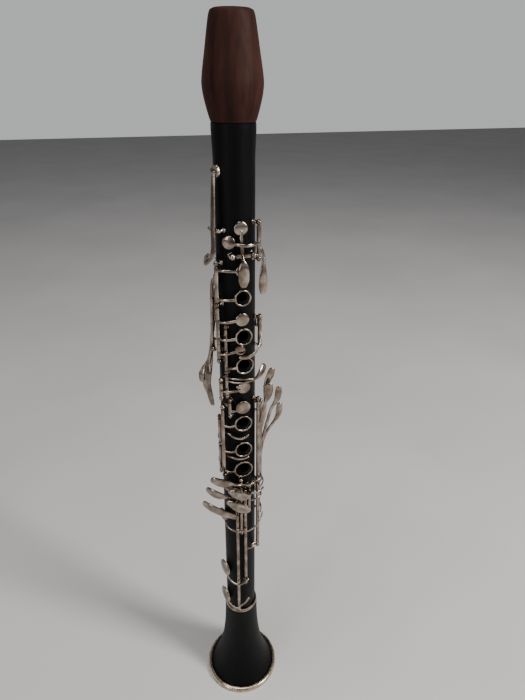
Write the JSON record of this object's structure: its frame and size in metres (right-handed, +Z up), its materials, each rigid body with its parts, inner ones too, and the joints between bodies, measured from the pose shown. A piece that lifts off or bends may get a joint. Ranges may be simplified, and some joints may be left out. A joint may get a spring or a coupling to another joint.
{
  "type": "clarinet",
  "caption": "Dark wooden clarinet with nickel-silver rings, pad cups and levers, a reddish rosewood barrel, and a flared bell on which it stands.",
  "frame": {"origin": "centre of the bell rim's lower face, on the bore axis", "axes": "+Z up along the bore to the barrel, -Y to the finger-hole side, +X to the right as seen from the front"},
  "size_m": [0.08, 0.08, 0.662],
  "materials": {
    "grenadilla": "satin oiled",
    "rosewood": "satin oiled",
    "nickel_silver": "worn polish",
    "pivot_steel": "satin",
    "rim_metal": "worn nickel plate",
    "cork": "matt"
  },
  "bodies": {
    "instrument": {"body_tube": "grenadilla", "bell": "grenadilla", "bell_rim_ring": "rim_metal", "bell_socket_ring": "nickel_silver", "barrel_tenon_cork": "cork", "bell_tenon_cork": "cork", "thumb_rest": "nickel_silver", "register_saddle": "pivot_steel", "a_pivot_rod": "pivot_steel", "g_sharp_rod": "pivot_steel", "side_key_rod": "pivot_steel", "thumb_ring_rod": "pivot_steel", "upper_stack_rod": "pivot_steel", "inner_rod": "pivot_steel", "sliver_key_rod": "pivot_steel", "c_sharp_cup_rod": "pivot_steel", "middle_vent_rod": "pivot_steel", "lower_stack_rod": "pivot_steel", "fork_key_rod": "pivot_steel", "low_e_flat_rod": "pivot_steel", "f_keys_rod": "pivot_steel", "e_key_rod": "pivot_steel", "a_flat_rod": "pivot_steel", "left_lever_rod_1": "pivot_steel", "left_lever_rod_2": "pivot_steel", "left_lever_rod_3": "pivot_steel", "left_lever_rod_4": "pivot_steel"},
    "barrel": {"barrel": "rosewood"},
    "register_key": {"register_key": "nickel_silver"},
    "a_key": {"a_key": "nickel_silver"},
    "g_sharp_key": {"g_sharp_key": "nickel_silver"},
    "side_key_1": {"side_key_1": "nickel_silver"},
    "side_key_2": {"side_key_2": "nickel_silver"},
    "side_key_3": {"side_key_3": "nickel_silver"},
    "side_key_4": {"side_key_4": "nickel_silver"},
    "thumb_ring_key": {"thumb_ring_key": "nickel_silver"},
    "first_ring_key": {"first_ring_key": "nickel_silver"},
    "second_ring_key": {"second_ring_key": "nickel_silver"},
    "vent_key": {"vent_key": "nickel_silver"},
    "third_ring_key": {"third_ring_key": "nickel_silver"},
    "sliver_key": {"sliver_key": "nickel_silver"},
    "c_sharp_lever": {"c_sharp_lever": "nickel_silver"},
    "c_sharp_cup_key": {"c_sharp_cup_key": "nickel_silver"},
    "middle_vent_key": {"middle_vent_key": "nickel_silver"},
    "lower_ring_key": {"lower_ring_key": "nickel_silver"},
    "fork_key_1": {"fork_key_1": "nickel_silver"},
    "fork_key_2": {"fork_key_2": "nickel_silver"},
    "f_sharp_key": {"f_sharp_key": "nickel_silver"},
    "f_key": {"f_key": "nickel_silver"},
    "e_key": {"e_key": "nickel_silver"},
    "low_e_flat_key": {"low_e_flat_key": "nickel_silver"},
    "a_flat_key": {"a_flat_key": "nickel_silver"},
    "left_lever_1": {"left_lever_1": "nickel_silver"},
    "left_lever_2": {"left_lever_2": "nickel_silver"},
    "left_lever_3": {"left_lever_3": "nickel_silver"},
    "left_lever_4": {"left_lever_4": "nickel_silver"}
  },
  "joints": [
    {"name": "barrel_slide", "type": "slide", "parent": "instrument", "child": "barrel", "axis": [0, 0, 1], "range_m": [0, 0.003]},
    {"name": "register_key_hinge", "type": "hinge", "parent": "instrument", "child": "register_key", "pos_m": [-0.01762, -0.00712, 0.526], "axis": [0.3746, -0.9272, 0], "range_deg": [0, 5], "stiffness_Nm_per_rad": 0.04, "springref_deg": -17.19},
    {"name": "a_key_hinge", "type": "hinge", "parent": "instrument", "child": "a_key", "pos_m": [0.00075, -0.01859, 0.508], "axis": [0.9992, 0.0401, 0], "range_deg": [0, 5], "stiffness_Nm_per_rad": 0.04, "springref_deg": -17.19},
    {"name": "g_sharp_key_hinge", "type": "hinge", "parent": "instrument", "child": "g_sharp_key", "pos_m": [0.01414, -0.01414, 0.5175], "axis": [0, 0, 1], "range_deg": [0, 5], "stiffness_Nm_per_rad": 0.04, "springref_deg": -17.19},
    {"name": "side_key_1_hinge", "type": "hinge", "parent": "instrument", "child": "side_key_1", "pos_m": [-0.01907, 0.00405, 0.428], "axis": [-0.2079, -0.9781, 0], "range_deg": [0, 2.4], "stiffness_Nm_per_rad": 0.04, "springref_deg": -17.19},
    {"name": "side_key_2_hinge", "type": "hinge", "parent": "instrument", "child": "side_key_2", "pos_m": [-0.01907, 0.00405, 0.428], "axis": [-0.2079, -0.9781, 0], "range_deg": [0, 3], "stiffness_Nm_per_rad": 0.04, "springref_deg": -17.19},
    {"name": "side_key_3_hinge", "type": "hinge", "parent": "instrument", "child": "side_key_3", "pos_m": [-0.01907, 0.00405, 0.428], "axis": [-0.2079, -0.9781, 0], "range_deg": [0, 3.6], "stiffness_Nm_per_rad": 0.04, "springref_deg": -17.19},
    {"name": "side_key_4_hinge", "type": "hinge", "parent": "instrument", "child": "side_key_4", "pos_m": [-0.01907, 0.00405, 0.428], "axis": [-0.2079, -0.9781, 0], "range_deg": [0, 5], "stiffness_Nm_per_rad": 0.04, "springref_deg": -17.19},
    {"name": "thumb_ring_key_hinge", "type": "hinge", "parent": "instrument", "child": "thumb_ring_key", "pos_m": [-0.01093, 0.01505, 0.4865], "axis": [0, 0, 1], "range_deg": [-6.5, 0], "stiffness_Nm_per_rad": 0.04, "springref_deg": 17.19},
    {"name": "first_ring_key_hinge", "type": "hinge", "parent": "instrument", "child": "first_ring_key", "pos_m": [-0.01766, -0.00939, 0.482], "axis": [0, 0, 1], "range_deg": [0, 4.6], "stiffness_Nm_per_rad": 0.04, "springref_deg": -17.19},
    {"name": "second_ring_key_hinge", "type": "hinge", "parent": "instrument", "child": "second_ring_key", "pos_m": [-0.01766, -0.00939, 0.45], "axis": [0, 0, 1], "range_deg": [0, 4.6], "stiffness_Nm_per_rad": 0.04, "springref_deg": -17.19},
    {"name": "vent_key_hinge", "type": "hinge", "parent": "instrument", "child": "vent_key", "pos_m": [-0.01766, -0.00939, 0.428], "axis": [0, 0, 1], "range_deg": [0, 4.6], "stiffness_Nm_per_rad": 0.04, "springref_deg": -17.19},
    {"name": "third_ring_key_hinge", "type": "hinge", "parent": "instrument", "child": "third_ring_key", "pos_m": [-0.01237, -0.01195, 0.429], "axis": [0, 0, 1], "range_deg": [0, 6], "stiffness_Nm_per_rad": 0.04, "springref_deg": -17.19},
    {"name": "sliver_key_hinge", "type": "hinge", "parent": "instrument", "child": "sliver_key", "pos_m": [0.01663, -0.0096, 0.4415], "axis": [0, 0, 1], "range_deg": [-4, 0], "stiffness_Nm_per_rad": 0.04, "springref_deg": 17.19},
    {"name": "c_sharp_lever_hinge", "type": "hinge", "parent": "instrument", "child": "c_sharp_lever", "pos_m": [-0.01237, -0.01195, 0.397], "axis": [0, 0, 1], "range_deg": [0, 4], "stiffness_Nm_per_rad": 0.04, "springref_deg": -17.19},
    {"name": "c_sharp_cup_key_hinge", "type": "hinge", "parent": "instrument", "child": "c_sharp_cup_key", "pos_m": [-0.01705, -0.01045, 0.392], "axis": [0, 0, 1], "range_deg": [-4, 0], "stiffness_Nm_per_rad": 0.04, "springref_deg": 17.19},
    {"name": "middle_vent_key_hinge", "type": "hinge", "parent": "instrument", "child": "middle_vent_key", "pos_m": [-0.01083, -0.01438, 0.374], "axis": [0, 0, 1], "range_deg": [0, 6], "stiffness_Nm_per_rad": 0.04, "springref_deg": -17.19},
    {"name": "lower_ring_key_hinge", "type": "hinge", "parent": "instrument", "child": "lower_ring_key", "pos_m": [-0.01658, -0.01118, 0.3375], "axis": [0, 0, 1], "range_deg": [0, 4.6], "stiffness_Nm_per_rad": 0.04, "springref_deg": -17.19},
    {"name": "fork_key_1_hinge", "type": "hinge", "parent": "instrument", "child": "fork_key_1", "pos_m": [-0.01812, -0.00418, 0.346], "axis": [0, 0, 1], "range_deg": [0, 2.6], "stiffness_Nm_per_rad": 0.04, "springref_deg": -17.19},
    {"name": "fork_key_2_hinge", "type": "hinge", "parent": "instrument", "child": "fork_key_2", "pos_m": [-0.01812, -0.00418, 0.316], "axis": [0, 0, 1], "range_deg": [0, 2.6], "stiffness_Nm_per_rad": 0.04, "springref_deg": -17.19},
    {"name": "f_sharp_key_hinge", "type": "hinge", "parent": "instrument", "child": "f_sharp_key", "pos_m": [-0.00339, -0.0192, 0.2888], "axis": [0, 0, 1], "range_deg": [-5, 0], "stiffness_Nm_per_rad": 0.04, "springref_deg": 17.19},
    {"name": "f_key_hinge", "type": "hinge", "parent": "instrument", "child": "f_key", "pos_m": [-0.00339, -0.0192, 0.2557], "axis": [0, 0, 1], "range_deg": [-4.6, 0], "stiffness_Nm_per_rad": 0.04, "springref_deg": 17.19},
    {"name": "e_key_hinge", "type": "hinge", "parent": "instrument", "child": "e_key", "pos_m": [0.00034, -0.0195, 0.221], "axis": [0, 0, 1], "range_deg": [-4.4, 0], "stiffness_Nm_per_rad": 0.04, "springref_deg": 17.19},
    {"name": "low_e_flat_key_hinge", "type": "hinge", "parent": "instrument", "child": "low_e_flat_key", "pos_m": [-0.00699, -0.0182, 0.1917], "axis": [0, 0, 1], "range_deg": [-5, 0], "stiffness_Nm_per_rad": 0.04, "springref_deg": 17.19},
    {"name": "a_flat_key_hinge", "type": "hinge", "parent": "instrument", "child": "a_flat_key", "pos_m": [0.00439, -0.019, 0.2728], "axis": [0, 0, 1], "range_deg": [-5, 0], "stiffness_Nm_per_rad": 0.04, "springref_deg": 17.19},
    {"name": "left_lever_1_hinge", "type": "hinge", "parent": "instrument", "child": "left_lever_1", "pos_m": [0.01439, -0.01389, 0.2915], "axis": [0, 0, 1], "range_deg": [0, 4.4], "stiffness_Nm_per_rad": 0.04, "springref_deg": -17.19},
    {"name": "left_lever_2_hinge", "type": "hinge", "parent": "instrument", "child": "left_lever_2", "pos_m": [0.01749, -0.0097, 0.33], "axis": [0, 0, 1], "range_deg": [0, 4.6], "stiffness_Nm_per_rad": 0.04, "springref_deg": -17.19},
    {"name": "left_lever_3_hinge", "type": "hinge", "parent": "instrument", "child": "left_lever_3", "pos_m": [0.01941, -0.00484, 0.325], "axis": [0, 0, 1], "range_deg": [0, 5], "stiffness_Nm_per_rad": 0.04, "springref_deg": -17.19},
    {"name": "left_lever_4_hinge", "type": "hinge", "parent": "instrument", "child": "left_lever_4", "pos_m": [0.01997, 0.00105, 0.2995], "axis": [0, 0, 1], "range_deg": [0, 6], "stiffness_Nm_per_rad": 0.04, "springref_deg": -17.19}
  ],
  "couplings": [
    {"joint": "left_lever_1_hinge", "follows": "e_key_hinge", "ratio": -0.98},
    {"joint": "left_lever_2_hinge", "follows": "f_sharp_key_hinge", "ratio": -0.9},
    {"joint": "left_lever_3_hinge", "follows": "a_flat_key_hinge", "ratio": -0.95},
    {"joint": "left_lever_4_hinge", "follows": "f_key_hinge", "ratio": -1.28},
    {"joint": "c_sharp_cup_key_hinge", "follows": "c_sharp_lever_hinge", "ratio": -1},
    {"joint": "middle_vent_key_hinge", "follows": "lower_ring_key_hinge", "ratio": 1.25}
  ]
}
